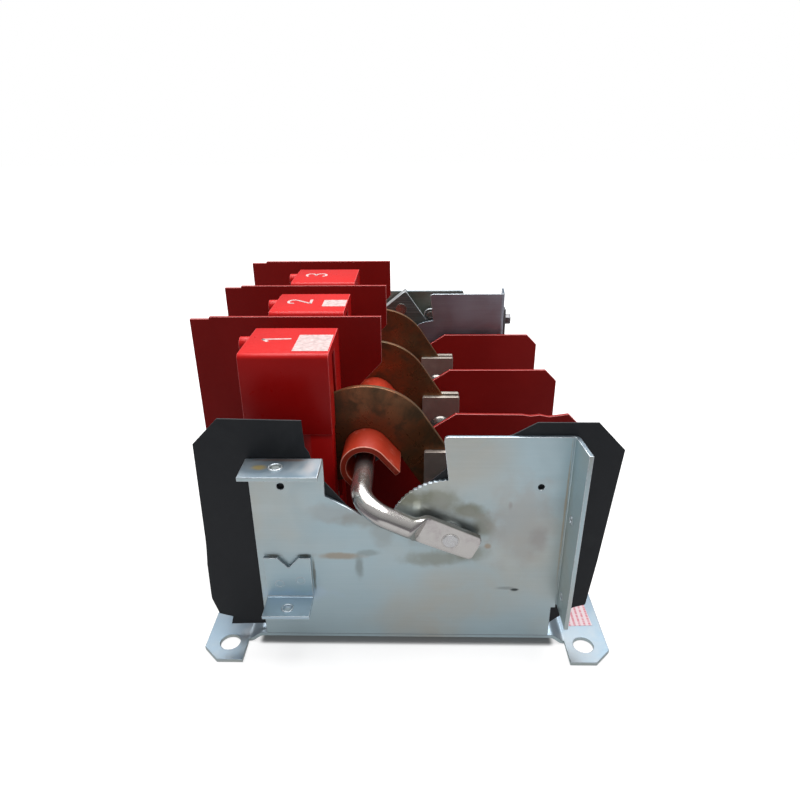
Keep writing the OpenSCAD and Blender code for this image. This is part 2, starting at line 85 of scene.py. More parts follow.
class Surface:
    """A material made of nodes, with short calls for the nodes that the surfaces here need."""

    def __init__(self, name, metallic=0.0, specular=0.5, roughness=0.5):
        self.material = bpy.data.materials.new(name)
        self.material.use_nodes = True
        self.tree = self.material.node_tree
        self.shader = self.tree.nodes["Principled BSDF"]
        self.shader.inputs["Metallic"].default_value = metallic
        self.shader.inputs["Specular IOR Level"].default_value = specular
        self.shader.inputs["Roughness"].default_value = roughness
        coordinates = self.tree.nodes.new("ShaderNodeTexCoord")
        self.place = coordinates.outputs["Object"]

    def node(self, kind, inputs=None, **settings):
        made = self.tree.nodes.new(kind)
        for key, value in settings.items():
            setattr(made, key, value)
        for key, value in (inputs or {}).items():
            self.put(made.inputs[key], value)
        return made

    def put(self, socket, value):
        if isinstance(value, bpy.types.NodeSocket):
            self.tree.links.new(value, socket)
        else:
            socket.default_value = value

    def math(self, operation, a, b=0.0, clamp=False):
        made = self.node("ShaderNodeMath", operation=operation, use_clamp=clamp)
        self.put(made.inputs[0], a)
        self.put(made.inputs[1], b)
        return made.outputs[0]

    def stretched(self, x, y, z):
        """Object coordinates scaled by x, y and z."""
        return self.node("ShaderNodeMapping", {"Vector": self.place, "Scale": (x, y, z)}).outputs[0]

    def noise(self, scale, detail=4.0, roughness=0.55, vector=None, distortion=0.0):
        made = self.node("ShaderNodeTexNoise", {
            "Vector": vector or self.place, "Scale": scale, "Detail": detail,
            "Roughness": roughness, "Distortion": distortion})
        return made.outputs["Fac"]

    def spread(self, value, low, high, to_low=0.0, to_high=1.0):
        """value between low and high, stretched smoothly to to_low..to_high."""
        made = self.node("ShaderNodeMapRange", {
            "Value": value, "From Min": low, "From Max": high, "To Min": to_low, "To Max": to_high},
            interpolation_type="SMOOTHSTEP")
        return made.outputs[0]

    def mix(self, factor, a, b):
        made = self.node("ShaderNodeMix", data_type="RGBA")
        self.put(made.inputs[0], factor)
        self.put(made.inputs[6], a)
        self.put(made.inputs[7], b)
        return made.outputs[2]

    def normal_part(self, axis):
        """The X, Y or Z part of the direction that the surface faces."""
        facing = self.node("ShaderNodeNewGeometry").outputs["Normal"]
        return self.node("ShaderNodeSeparateXYZ", {0: facing}).outputs[axis]

    def spot(self, at, size):
        """1 in the middle of an ellipsoid at a place, 0 outside it, with a ragged border. size is half
        its length along each axis."""
        inner, ragged, ragged_scale = 0.3, 0.6, 70.0
        inverse = tuple(1 / s for s in size)
        away = self.node("ShaderNodeVectorMath", {0: self.place, 1: tuple(at)}, operation="SUBTRACT")
        scaled = self.node("ShaderNodeVectorMath", {0: away.outputs[0], 1: inverse}, operation="MULTIPLY")
        length = self.node("ShaderNodeVectorMath", {0: scaled.outputs[0]}, operation="LENGTH")
        wobble = self.math("SUBTRACT", self.noise(ragged_scale, 5.0), 0.5)
        wobble = self.math("MULTIPLY", wobble, 2 * ragged)
        return self.spread(self.math("ADD", length.outputs["Value"], wobble), 1.0, inner)

    def bump(self, height, strength, distance):
        made = self.node("ShaderNodeBump", {"Height": height, "Strength": strength, "Distance": distance})
        self.put(self.shader.inputs["Normal"], made.outputs[0])

    def colour(self, value):
        self.put(self.shader.inputs["Base Color"], value)

    def rough(self, value):
        self.put(self.shader.inputs["Roughness"], value)


def plated_steel(name, tint=(0.48, 0.61, 0.65), warm=(0.53, 0.55, 0.51), stains=(),
                 top=((0.16, 0.23, 0.3), (0.25, 0.28, 0.31)), metallic=0.9):
    """Zinc plated sheet: cloudy plating with faint rolling lines. Where it faces up it takes the top tones,
    painted light and shade for how up-facing faces catch the light.

    stains are (place, half size, colour, amount).
    """
    s = Surface(name, metallic=metallic, roughness=0.4)
    clouds = s.noise(9.0, 3.0, 0.5)
    patches = s.noise(28.0, 5.0, 0.6, distortion=0.6)
    colour = s.mix(s.spread(clouds, 0.38, 0.66), tone(tint), tone(warm))
    colour = s.mix(s.spread(patches, 0.45, 0.75, 0, 0.35), colour, tone(tint, 1.12))
    lines = s.noise(40.0, 4.0, 0.6, vector=s.stretched(0.4, 1.0, 14.0))
    colour = s.mix(s.spread(lines, 0.35, 0.8, 0, 0.12), colour, (0.72, 0.76, 0.78, 1))
    # Painted light and shade: faces that point up are mixed into the top tones, darker or lighter than the
    # sheet's own tone.
    painted_top_tone = s.mix(s.spread(patches, 0.35, 0.7), tone(top[0]), tone(top[1]))
    colour = s.mix(s.spread(s.normal_part("Z"), 0.3, 0.8, 0, 0.85), colour, painted_top_tone)
    for at, size, stain, amount in stains:
        mask = s.math("MULTIPLY", s.spot(at, size), amount, clamp=True)
        colour = s.mix(mask, colour, tone(stain))
    s.colour(colour)
    s.rough(s.spread(patches, 0.3, 0.75, 0.34, 0.5))
    s.bump(s.math("ADD", lines, s.math("MULTIPLY", s.noise(300.0, 3.0), 0.5)), 0.12, 0.0004)
    return s.material


def moulded(name, base, pale, specular=0.2, roughness=0.42, mottle=0.25, scuff=0.66):
    """Insulation: a saturated body with faint cloudiness, pale scuffs and a fine grain."""
    s = Surface(name, specular=specular, roughness=roughness)
    clouds = s.noise(14.0, 4.0, 0.55)
    fine = s.noise(220.0, 4.0, 0.7)
    colour = s.mix(s.spread(clouds, 0.35, 0.7, 0, mottle), tone(base), tone(base, 1.5, 0.004))
    scuffs = s.noise(75.0, 6.0, 0.75, vector=s.stretched(1.0, 1.0, 0.35))
    colour = s.mix(s.spread(scuffs, scuff, scuff + 0.2, 0, 0.5), colour, tone(pale))
    s.colour(colour)
    s.rough(s.spread(fine, 0.3, 0.7, roughness - 0.06, roughness + 0.08))
    s.bump(s.math("ADD", s.noise(900.0, 2.0), clouds), 0.08, 0.0003)
    return s.material


def plain_edge(name, base, roughness=0.5, metallic=0.0, grain=500.0):
    """Cut or worn edge: a paler tone with fine streaks."""
    s = Surface(name, metallic=metallic, roughness=roughness, specular=0.3)
    streaks = s.noise(grain, 4.0, 0.7)
    s.colour(s.mix(s.spread(streaks, 0.3, 0.75), tone(base, 0.75), tone(base, 1.25)))
    s.rough(s.spread(streaks, 0.3, 0.7, roughness - 0.08, roughness + 0.1))
    s.bump(streaks, 0.15, 0.0002)
    return s.material


def copper(name):
    """Oxidised copper: brown clouds and greenish patches, with orange and dark patches that are painted
    reflections of the red barriers.
    """
    s = Surface(name, metallic=0.6, roughness=0.4)
    clouds = s.noise(26.0, 5.0, 0.62, distortion=0.8)
    dark = s.noise(60.0, 5.0, 0.65, distortion=0.5)
    # Painted reflection: the more orange clouds and the dark patches stand for the red barriers mirrored in
    # the blade; the brown is the oxide.
    colour = s.mix(s.spread(clouds, 0.36, 0.66), (0.15, 0.075, 0.032, 1), (0.22, 0.08, 0.03, 1))
    colour = s.mix(s.spread(dark, 0.44, 0.66, 0, 0.85), colour, (0.08, 0.052, 0.025, 1))
    greenish = s.noise(18.0, 3.0, 0.5)
    colour = s.mix(s.spread(greenish, 0.52, 0.72, 0, 0.55), colour, (0.16, 0.13, 0.065, 1))
    s.colour(colour)
    s.rough(s.spread(dark, 0.35, 0.7, 0.26, 0.5))
    s.bump(s.math("ADD", dark, s.noise(400.0, 3.0)), 0.06, 0.0002)
    return s.material


def metal(name, base, roughness=0.3, stain=(0.3, 0.26, 0.22), amount=0.35, scale=70.0,
          metallic=0.95, reflection_band=0.0):
    """Turned or cold-drawn metal with light stains. The band is a painted dark reflection: it darkens a strip
    of the round part that faces just above level.
    """
    s = Surface(name, metallic=metallic, roughness=roughness)
    clouds = s.noise(scale, 5.0, 0.6)
    colour = s.mix(s.spread(clouds, 0.45, 0.75, 0, amount), tone(base), tone(stain))
    fine = s.noise(scale * 8, 3.0, 0.6)
    # Painted reflection: a dark strip where the round part faces just above level.
    if reflection_band:
        reflection_strip_at = s.math("ADD", 0.1, s.math("MULTIPLY", clouds, 0.12))
        off = s.math("ABSOLUTE", s.math("SUBTRACT", s.normal_part("Z"), reflection_strip_at))
        flat_end = s.math("ABSOLUTE", s.normal_part("Y"))
        round_part = s.spread(flat_end, 0.96, 0.99, 1, 0)
        reflection_strip = s.math("MULTIPLY", s.spread(off, 0.04, 0.3, reflection_band, 0), round_part)
        colour = s.mix(reflection_strip, colour, (0.13, 0.11, 0.12, 1))
    s.colour(colour)
    s.rough(s.spread(fine, 0.3, 0.7, roughness * 0.85, roughness * 1.25))
    s.bump(fine, 0.06, 0.0002)
    return s.material


def black_board(name):
    """Thin black insulating sheet with dusty smears."""
    s = Surface(name, specular=0.25, roughness=0.5)
    dust = s.noise(22.0, 5.0, 0.65, distortion=0.4)
    s.colour(s.mix(s.spread(dust, 0.45, 0.8, 0, 0.5), (0.016, 0.018, 0.021, 1), (0.045, 0.048, 0.05, 1)))
    s.rough(s.spread(dust, 0.35, 0.7, 0.42, 0.6))
    s.bump(s.noise(700.0, 3.0), 0.1, 0.0003)
    return s.material


OLIVE = (0.2, 0.2, 0.13)
RUST = (0.4, 0.3, 0.2)
GREY = (0.36, 0.36, 0.33)
# The colour of the dark lines drawn along the notched bracket's top and right edges
BRACKET_OUTLINE = (0.14, 0.12, 0.09)
STAIN_DEPTH = 20              # half the depth of the stains on the near face, along Y in mm

# On the near plate's outer face, in mm: x and z from the pivot, half the width, half the height, then
# the colour and the amount
FACE_STAINS = (
    (-30, 32, 20, 10, OLIVE, 0.7), (-8, 30, 22, 14, OLIVE, 0.55), (12, 21, 20, 9, OLIVE, 0.8),
    (24, 6, 12, 14, OLIVE, 0.7), (0, 6, 44, 30, GREY, 0.5), (-10, -22, 34, 10, (0.3, 0.31, 0.26), 0.7),
    (16, -18, 22, 8, (0.26, 0.25, 0.19), 0.6), (29, -11, 3.5, 3, RUST, 0.8),
    (-84, -21, 26, 4.5, RUST, 0.7), (-62, 12, 30, 9, GREY, 0.6), (-50, 4, 12, 22, GREY, 0.4),
    (-88, 18, 26, 12, (0.4, 0.38, 0.35), 0.4), (-69, -30, 4.5, 15, (0.24, 0.27, 0.26), 0.6),
    (-61, -18, 13, 4, (0.26, 0.29, 0.27), 0.5), (54, 10, 34, 54, (0.46, 0.44, 0.41), 0.55),
    (66, -4, 10, 15, (0.36, 0.32, 0.31), 0.45), (44, 26, 2.5, 6, (0.36, 0.32, 0.31), 0.5),
    (52, -52.5, 4.2, 1.8, (0.05, 0.06, 0.06), 0.95), (44, -51, 9, 2.2, (0.2, 0.22, 0.22), 0.45),
    # The last three rows draw dark lines along the notched bracket's right edge and its top either side of
    # the notch.
    (84, 20, 1.1, 80, (0.5, 0.4, 0.28), 0.75), (-104.6, -40, 1.8, 23, BRACKET_OUTLINE, 0.75),
    (-135, -20.6, 8, 1.3, BRACKET_OUTLINE, 0.7), (-112, -20.6, 7, 1.3, BRACKET_OUTLINE, 0.7))
# On the near shelf, its bend and the notched bracket's flange: the place and half the size in mm, then
# the colour and the amount
TOP_STAINS = (
    ((-102, -211, 172.6), (7, 5, 3), (0.5, 0.36, 0.08), 0.7),
    ((-88, -200.5, 172), (30, 3, 3), (0.22, 0.15, 0.13), 0.8),
    ((-66, -212, 172.6), (6, 12, 3), (0.45, 0.43, 0.42), 0.5),
    ((-91, -211, 49.5), (50, 30, 12), (0.5, 0.64, 0.74), 0.95))


def near_stains():
    """The stains of the near sheet as (place, half size, colour, amount), in metres."""
    on_face = Vector((PIVOT.x, NEAR_Y, PIVOT.z))
    rows = [(on_face + Vector((x, 0, z)) * MM, (w, STAIN_DEPTH, h), colour, amount)
            for x, z, w, h, colour, amount in FACE_STAINS]
    rows += [(Vector(at) * MM, size, colour, amount) for at, size, colour, amount in TOP_STAINS]
    return [(at, [s * MM for s in size], colour, amount) for at, size, colour, amount in rows]


STEEL = plated_steel("plated_steel")
STEEL_NEAR = plated_steel("plated_steel_near", stains=near_stains())
# Painted shade: the far plate, the mechanism plate and the lever take darker copies of the same plated steel,
# for the shade they sit in behind the poles.
STEEL_FAR_SHADED = plated_steel("plated_steel_far_shaded", tint=(0.33, 0.32, 0.37), warm=(0.3, 0.27, 0.33))
STEEL_MECH_SHADED = plated_steel("plated_steel_mechanism_shaded", tint=(0.26, 0.29, 0.26), warm=(0.24, 0.25, 0.2))
LEVER_SHADED = plated_steel("lever_steel_shaded", tint=(0.045, 0.07, 0.07), warm=(0.06, 0.065, 0.055), metallic=0.3,
                     top=((0.3, 0.33, 0.34), (0.4, 0.4, 0.4)))
STEEL_EDGE = plain_edge("plated_edge", (0.62, 0.67, 0.7), 0.35, metallic=0.9)
BARRIER = moulded("barrier_red", (0.2, 0.006, 0.005), (0.4, 0.06, 0.06), specular=0.12, roughness=0.5)
BARRIER_EDGE = plain_edge("barrier_edge", (0.62, 0.2, 0.19))
CHUTE = moulded("chute_red", (0.4, 0.0045, 0.004), (0.6, 0.07, 0.06), specular=0.18, roughness=0.33)
CHUTE_EDGE = plain_edge("chute_edge", (0.6, 0.07, 0.07), 0.4)
SUPPORT = moulded("support_red", (0.38, 0.0045, 0.004), (0.55, 0.07, 0.06), specular=0.14, roughness=0.42)
CHANNEL = moulded("channel_red", (0.31, 0.027, 0.011), (0.62, 0.3, 0.24), roughness=0.42, mottle=0.6,
                  scuff=0.57)
CHANNEL_EDGE = plain_edge("channel_edge", (0.6, 0.25, 0.19))
COPPER = copper("blade_copper")
COPPER_EDGE = plain_edge("copper_edge", (0.6, 0.36, 0.22), 0.4, metallic=0.6)
TINNED = metal("tinned_copper", (0.3, 0.26, 0.23), 0.45, stain=(0.5, 0.46, 0.4), amount=0.6, scale=38.0,
               metallic=0.6)
TINNED_EDGE = plain_edge("tinned_edge", (0.62, 0.46, 0.38), 0.4, metallic=0.6)
ROD = metal("bright_rod", (0.6, 0.58, 0.55), 0.19, stain=(0.38, 0.31, 0.33), amount=0.5, reflection_band=0.85)
BOLT = metal("bolt_steel", (0.6, 0.6, 0.6), 0.25)
DOME = metal("dark_bolt", (0.2, 0.19, 0.18), 0.22, metallic=0.8)
DARK = metal("dark_steel", (0.16, 0.16, 0.17), 0.45)
BLACK = black_board("black_sheet")


def ruled(name, paper, ink, spacing, across, amount):
    """Paper with broken ruled lines, in place of a label's small print."""
    s = Surface(name, roughness=0.55, specular=0.3)
    x, y, _ = s.node("ShaderNodeSeparateXYZ", {0: s.place}).outputs
    row = s.math("FRACT", s.math("DIVIDE", x if across == "x" else y, spacing))
    lines = s.spread(row, 0.5, 0.62)
    words = s.noise(1.0, 2.0, 0.5, vector=s.stretched(*((90, 900, 1) if across == "x" else (900, 90, 1))))
    print_mask = s.math("MULTIPLY", lines, s.spread(words, 0.36, 0.46))
    s.colour(s.mix(s.math("MULTIPLY", print_mask, amount), tone(paper), tone(ink)))
    fibres = s.noise(300.0, 3.0)
    s.rough(s.spread(fibres, 0.3, 0.7, 0.5, 0.62))
    s.bump(fibres, 0.05, 0.0001)
    return s.material


WHITE_PAINT = plain_edge("white_paint", (0.42, 0.32, 0.31), 0.6, grain=260.0)
LABEL = ruled("label_white", (0.36, 0.4, 0.41), (0.03, 0.035, 0.045), 0.0049, "y", 0.85)
STICKER = ruled("sticker_pink", (0.5, 0.42, 0.44), (0.4, 0.06, 0.1), 0.0042, "x", 0.7)


# ---- Mesh helpers ----

def welded(node):
    """A bmesh of a CAD node, with split vertices joined and flat faces made whole."""
    bm = bmesh.new()
    bm.from_mesh(frame["nodes"][node].data)
    bmesh.ops.remove_doubles(bm, verts=bm.verts, dist=2e-6)
    bmesh.ops.dissolve_limit(bm, angle_limit=FLAT, verts=bm.verts, edges=bm.edges)
    for f in bm.faces:
        f.material_index = 0
    return bm


def mesh_of(bm, name):
    """A new mesh made of bm, which is freed."""
    mesh = bpy.data.meshes.new(name)
    bm.to_mesh(mesh)
    bm.free()
    return mesh


def placed(name, mesh, body, materials):
    made = bpy.data.objects.new(name, mesh)
    bpy.context.scene.collection.objects.link(made)
    mesh.materials.clear()
    for m in materials:
        mesh.materials.append(m)
    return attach(made, body)


def bevelled(bm, name, body, materials, width=0.4 * MM, bends=(), face_slot=None, edge_slot=None):
    """A piece made of bm, with every sharp edge bevelled.

    bends are (test of an edge's middle, width) for edges with a width of their own. face_slot gives a
    face's material from its normal. edge_slot is the bevels' material.
    """
    layers = bm.edges.layers.float
    weights = layers.get("bevel_weight_edge") or layers.new("bevel_weight_edge")
    widest = max([width, *[w for _, w in bends]])
    for e in bm.edges:
        if len(e.link_faces) == 2 and e.calc_face_angle(0) > SHARP:
            middle = (e.verts[0].co + e.verts[1].co) / 2
            own = [w for test, w in bends if test(middle)]
            e[weights] = (own[0] if own else width) / widest
    for f in bm.faces:
        f.smooth = True
        if face_slot:
            f.material_index = face_slot(f.normal)
    mesh = mesh_of(bm, name)
    made = placed(name, mesh, body, materials)
    bevel = made.modifiers.new("bevel", "BEVEL")
    bevel.limit_method = "WEIGHT"
    bevel.width = widest
    bevel.segments = 2
    bevel.use_clamp_overlap = False
    if edge_slot is not None:
        bevel.material = edge_slot
    bpy.context.view_layer.update()
    baked = bpy.data.meshes.new_from_object(made.evaluated_get(bpy.context.evaluated_depsgraph_get()))
    made.modifiers.clear()
    made.data = baked
    bpy.data.meshes.remove(mesh)
    baked.name = name
    for face in baked.polygons:
        face.use_smooth = face.area < FLAT_AREA or len(face.vertices) < 5
    return made


def refined(node, materials, body="frame", **how):
    """A bevelled copy of a CAD node that stands for it."""
    made = bevelled(welded(node), node + "_finish", body, materials, **how)
    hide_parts(node)


def rim(axis):
    """Slot 0 for faces across an axis, slot 1 for the rim between them."""
    return lambda normal: 0 if abs(normal[axis]) > 0.5 else 1


def ring_points(at, u, v, radius, count=32):
    return [at + radius * (math.cos(a) * u + math.sin(a) * v)
            for a in (2 * math.pi * k / count for k in range(count))]


def extruded(bm, profile, depth):
    """A prism of a profile, a list of points in order, pushed along the vector depth."""
    first = [bm.verts.new(p) for p in profile]
    last = [bm.verts.new(p + depth) for p in profile]
    faces = [bm.faces.new(first), bm.faces.new(list(reversed(last)))]
    for a in range(len(profile)):
        b = (a + 1) % len(profile)
        faces.append(bm.faces.new([first[b], first[a], last[a], last[b]]))
    bmesh.ops.recalc_face_normals(bm, faces=faces)
    return faces


def lofted(bm, rings, slot=0, closed_ends=True):
    """A skin over rings of points, with its first and last rings filled where closed_ends is set."""
    rows = [[bm.verts.new(p) for p in ring] for ring in rings]
    faces = []
    for low_row, high_row in zip(rows, rows[1:]):
        for a in range(len(low_row)):
            b = (a + 1) % len(low_row)
            faces.append(bm.faces.new([low_row[a], low_row[b], high_row[b], high_row[a]]))
    if closed_ends:
        faces += [bm.faces.new(list(reversed(rows[0]))), bm.faces.new(rows[-1])]
    for f in faces:
        f.material_index = slot
    bmesh.ops.recalc_face_normals(bm, faces=faces)


def collar(bm, at, axis, inner, outer, height, slot=0):
    """The raised lip round a hole or a dimple: up from inside it, over and down to the sheet."""
    u = axis.orthogonal().normalized()
    v = axis.cross(u)
    shoulder = height * 0.7
    steps = ((inner, -height), (inner, shoulder), ((inner + outer) / 2, height),
             (outer - 0.2 * MM, shoulder), (outer, 0))
    rings = [ring_points(at + lift * axis, u, v, radius) for radius, lift in steps]
    lofted(bm, rings, slot, closed_ends=False)


def joined(bm, *parts):
    """bm with the bmeshes in parts added to it."""
    for part in parts:
        mesh = mesh_of(part, "part")
        bm.from_mesh(mesh)
        bpy.data.meshes.remove(mesh)
    return bm


def cut(bm, cutters):
    """bm with the bmesh cutters taken out of it."""
    objects = []
    for name, part in (("solid", bm), ("cutters", cutters)):
        objects.append(bpy.data.objects.new(name, mesh_of(part, name)))
        bpy.context.scene.collection.objects.link(objects[-1])
    solid, cutter = objects
    taken = solid.modifiers.new("cut", "BOOLEAN")
    taken.operation = "DIFFERENCE"
    taken.solver = "EXACT"
    taken.object = cutter
    bpy.context.view_layer.update()
    result = bmesh.new()
    result.from_mesh(solid.evaluated_get(bpy.context.evaluated_depsgraph_get()).data)
    for made in objects:
        mesh = made.data
        bpy.data.objects.remove(made)
        bpy.data.meshes.remove(mesh)
    return result


def drilled(bm, holes):
    """bm with round holes cut through it. holes are (middle, axis, radius)."""
    half = 8 * MM
    cutters = bmesh.new()
    for middle, axis, radius in holes:
        u = axis.orthogonal().normalized()
        extruded(cutters, ring_points(middle - half * axis, u, axis.cross(u), radius), 2 * half * axis)
    return cut(bm, cutters)


def block(bm, low, high):
    """A box between two corners."""
    corners = ((low[0], low[1]), (high[0], low[1]), (high[0], high[1]), (low[0], high[1]))
    return extruded(bm, [Vector((x, y, low[2])) for x, y in corners], Vector((0, 0, high[2] - low[2])))


def finished(bm, node, materials, body="frame", smooth=35.0):
    """A mesh built here that stands for a CAD node; faces meeting under smooth degrees are shaded as one."""
    for e in bm.edges:
        e.smooth = len(e.link_faces) == 2 and e.calc_face_angle(0) < math.radians(smooth)
    for f in bm.faces:
        f.smooth = True
    made = placed(node + "_finish", mesh_of(bm, node + "_finish"), body, materials)
    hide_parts(node)


def smooth_step(value):
    value = max(0.0, min(1.0, value))
    return value * value * (3 - 2 * value)


# ---- The bent side plates ----

BEND_OUT = 4 * MM             # outer radius of the sheet's bends
BEND_IN = BEND_OUT - SHEET    # their inner radius
SHOULDER = (44 * MM, 50 * MM) # the plate's round shoulder is this far from the pivot
SHELF_TOP = 172.6 * MM
SHELF_END = -59 * MM          # the shelf's right end along X
SHELF_REACH = 26.5 * MM       # the shelf's free edge, out from the plate's outer face
SHELF_HOLE_X = -90 * MM
SHELF_HOLE_OUT = 12.5 * MM    # the hole's middle, out from the plate's outer face
SHELF_HOLE_R = 3.6 * MM
SHELF_LIP = (5.4 * MM, 0.9 * MM)             # outer radius and height of the lip round the hole
EDGE_BOTTOM = {-1: 41 * MM, 1: 38 * MM}      # lower end of the edge flange, near and far
EDGE_LEAN = 2.2 * MM          # the edge flange's free edge leans out this far at its top
EDGE_HOLES = (58 * MM, 128 * MM)             # heights of its holes
EDGE_HOLE_OUT = 10 * MM
EDGE_HOLE_R = 2.4 * MM
EDGE_LIP = (3.8 * MM, 0.7 * MM)
HOLE_LEAN = 0.35              # share of the lean that the lips round the holes take up
PAINTED_BEND_HIGHLIGHT_FROM = 45 * MM      # the far edge flange's bend and inside take the paler edge tone above this, a painted highlight
FOOT_TOP = 20 * MM            # the flange along the pan lies below this height


def arc(cx, cy, radius, start, end, steps=8):
    """Points round a centre, from one angle to another in degrees."""
    angles = [math.radians(start + (end - start) * k / steps) for k in range(steps + 1)]
    return [(cx + radius * math.cos(a), cy + radius * math.sin(a)) for a in angles]


def plate_leaf(name, right, sheet_material):
    """The flat plate, ending where the shelf and the edge flange start to bend."""
    leaf = welded(f"{name}_side_plate")
    for v in leaf.verts:
        if v.co.z > SHELF_TOP - TOUCH and v.co.x < SHELF_END + TOUCH:
            v.co.z = SHELF_TOP - BEND_OUT
        if v.co.x > right - TOUCH:
            v.co.x = right - BEND_OUT
    bends = [(lambda m: SHOULDER[0] < math.hypot(m.x - PIVOT.x, m.z - PIVOT.z) < SHOULDER[1], 0.12 * MM),
             (lambda m: m.z > SHELF_TOP - BEND_OUT - MM and m.x < SHELF_END, 0.0),
             (lambda m: m.x > right - BEND_OUT - TOUCH, 0.0)]
    made = bevelled(leaf, f"{name}_side_plate_finish", "frame", [sheet_material, STEEL_EDGE],
                    width=0.35 * MM, bends=bends, edge_slot=1)
    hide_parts(f"{name}_side_plate")


def shelf(side, front, left):
    """The shelf bent out at the plate's top, with its hole."""
    bend_y = front + side * BEND_IN
    bend_z = SHELF_TOP - BEND_OUT
    reach = SHELF_REACH - BEND_IN
    profile = (arc(0, bend_z, BEND_OUT, 180, 90) + [(reach, SHELF_TOP), (reach, SHELF_TOP - SHEET)]
               + arc(0, bend_z, BEND_IN, 90, 180))
    bm = bmesh.new()
    extruded(bm, [Vector((left, bend_y + side * out, z)) for out, z in profile],
             Vector((SHELF_END - left, 0, 0)))
    hole = Vector((SHELF_HOLE_X, front + side * SHELF_HOLE_OUT, SHELF_TOP))
    return drilled(bm, [(hole, Z_AXIS, SHELF_HOLE_R)])


def edge_flange(side, front, reach, high):
    """The flange bent out at the plate's right edge, with its holes, leaning out towards its top."""
    bend_x, bend_y = high.x - BEND_OUT, front + side * BEND_IN
    bottom = EDGE_BOTTOM[side]
    length = abs(reach - bend_y)
    profile = (arc(bend_x, 0, BEND_OUT, -90, 0) + [(high.x, length), (high.x - SHEET, length)]
               + arc(bend_x, 0, BEND_IN, 0, -90))
    edge = bmesh.new()
    extruded(edge, [Vector((x, bend_y + side * out, bottom)) for x, out in profile],
             Vector((0, 0, high.z - bottom)))
    edge = drilled(edge, [(Vector((high.x - SHEET / 2, front + side * EDGE_HOLE_OUT, z)), X_AXIS, EDGE_HOLE_R)
                          for z in EDGE_HOLES])
    for v in edge.verts:
        out = max(0.0, side * (v.co.y - bend_y)) / length
        v.co.x += EDGE_LEAN * out * (v.co.z - bottom) / (high.z - bottom)
    return edge


def foot_flange(name):
    """The flange along the pan, as it is in the CAD."""
    foot = welded(f"{name}_flanges")
    above = [v for v in foot.verts if v.co.z > FOOT_TOP]
    bmesh.ops.delete(foot, geom=above, context="VERTS")
    return foot


def bent_plate(side, sheet_material):
    """A side plate with its flanges bent round real radii. side is -1 near, 1 far."""
    name = "near" if side < 0 else "far"
    low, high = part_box(f"{name}_side_plate")
    flange_low, flange_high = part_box(f"{name}_flanges")
    front = low.y if side < 0 else high.y
    reach = flange_low.y if side < 0 else flange_high.y
    plate_leaf(name, high.x, sheet_material)

    bm = joined(shelf(side, front, low.x), edge_flange(side, front, reach, high), foot_flange(name))
    for f in bm.faces:
        middle = f.calc_center_median()
        in_bend = high.x - BEND_OUT < middle.x < high.x
        # Painted highlight: the far flange's bend and inside take the paler edge tone above a height.
        f.material_index = 1 if side > 0 and in_bend and middle.z > PAINTED_BEND_HIGHLIGHT_FROM else 0
    collar(bm, Vector((SHELF_HOLE_X, front + side * SHELF_HOLE_OUT, SHELF_TOP)), Z_AXIS,
           SHELF_HOLE_R, *SHELF_LIP, 1)
    bottom = EDGE_BOTTOM[side]
    for z in EDGE_HOLES:
        lean = EDGE_LEAN * HOLE_LEAN * (z - bottom) / (high.z - bottom)
        collar(bm, Vector((high.x - SHEET + lean, front + side * EDGE_HOLE_OUT, z)), -X_AXIS,
               EDGE_HOLE_R, *EDGE_LIP, 1)
    made = bevelled(bm, f"{name}_flanges_finish", "frame", [sheet_material, STEEL_EDGE],
                    width=0.35 * MM, edge_slot=1)
    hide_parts(f"{name}_flanges")


# ---- The bail rod ----

ROD_R = 8 * MM
ROD_BEND = 22 * MM            # radius of the rod's axis in its bend
EYE_THICK = 5 * MM            # the flattened end
EYE_HALF = 11.2 * MM          # half its width where it starts to turn round
EYE_END = 23.2 * MM           # that place, up the arm from the pivot
SWELL = 11 * MM               # from there to the full rod
SWELL_STEPS = 8
BEND_STEPS = 24
ROD_SIDES = 64
ROD_END = 0.6 * MM            # the far end narrows over this length
EYE_SHADE_RING = (5.8 * MM, 6.7 * MM, 0.12 * MM)   # inner and outer radius and height of the dark ring round the pin, a painted shade for the groove there
# Rings of the flattened end: place up the arm, then its two sides across the arm, in mm
EYE_ROWS = ((-21.2, -5.5, 6.8), (-21.0, -7.6, 7.6), (-20.3, -10.4, 8.4), (-19.2, -11.7, 8.8),
            (-17, -11.8, 9.1), (0, -11.6, 10.2), (20, -11.3, 11.2), (23.2, -11.1, 11.2))


